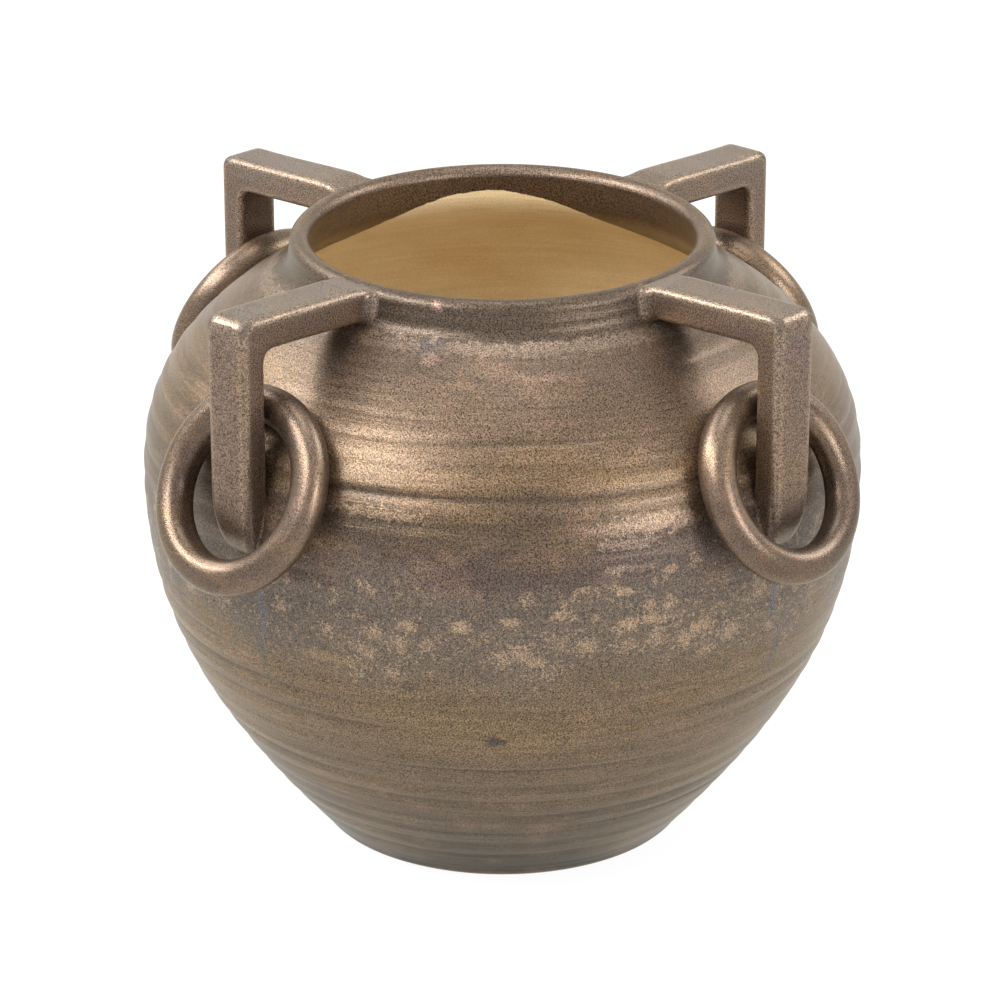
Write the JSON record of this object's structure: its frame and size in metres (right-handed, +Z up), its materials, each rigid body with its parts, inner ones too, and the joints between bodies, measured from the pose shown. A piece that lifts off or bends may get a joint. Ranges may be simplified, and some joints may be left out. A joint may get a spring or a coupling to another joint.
{
  "type": "amphora vase",
  "caption": "Round-bellied stoneware amphora vase with square loop handles from lip to belly and a loose ring hanging on each, for holding flowers.",
  "frame": {"origin": "centre of the foot, where the throwing axis meets the surface that the vase stands on", "axes": "+Z up along the throwing axis; a handle stands on each of the -Y (front), +X (right), +Y (back) and -X (left) sides"},
  "size_m": [0.3434, 0.3434, 0.254],
  "materials": {
    "bronze_glaze": "semi-matt metallic bronze glaze on stoneware, mottled, over throwing ridges",
    "ring_glaze": "the same bronze glaze, darker and glossier on the rings",
    "bare_clay": "unglazed warm buff stoneware inside the vessel"
  },
  "bodies": {
    "vessel": {"thrown_body": "bronze_glaze", "handle_front": "bronze_glaze", "handle_right": "bronze_glaze", "handle_back": "bronze_glaze", "handle_left": "bronze_glaze"},
    "front_ring": {"ring_front": "ring_glaze"},
    "right_ring": {"ring_right": "ring_glaze"},
    "back_ring": {"ring_back": "ring_glaze"},
    "left_ring": {"ring_left": "ring_glaze"}
  },
  "joints": [
    {"name": "front_ring_swing", "type": "hinge", "parent": "vessel", "child": "front_ring", "pos_m": [0, -0.13263, 0.21445], "axis": [-1, 0, 0], "range_deg": [0, 195]},
    {"name": "right_ring_swing", "type": "hinge", "parent": "vessel", "child": "right_ring", "pos_m": [0.13263, 0, 0.21445], "axis": [0, -1, 0], "range_deg": [0, 195]},
    {"name": "back_ring_swing", "type": "hinge", "parent": "vessel", "child": "back_ring", "pos_m": [0, 0.13263, 0.21445], "axis": [1, 0, 0], "range_deg": [0, 195]},
    {"name": "left_ring_swing", "type": "hinge", "parent": "vessel", "child": "left_ring", "pos_m": [-0.13263, 0, 0.21445], "axis": [0, 1, 0], "range_deg": [0, 195]}
  ]
}
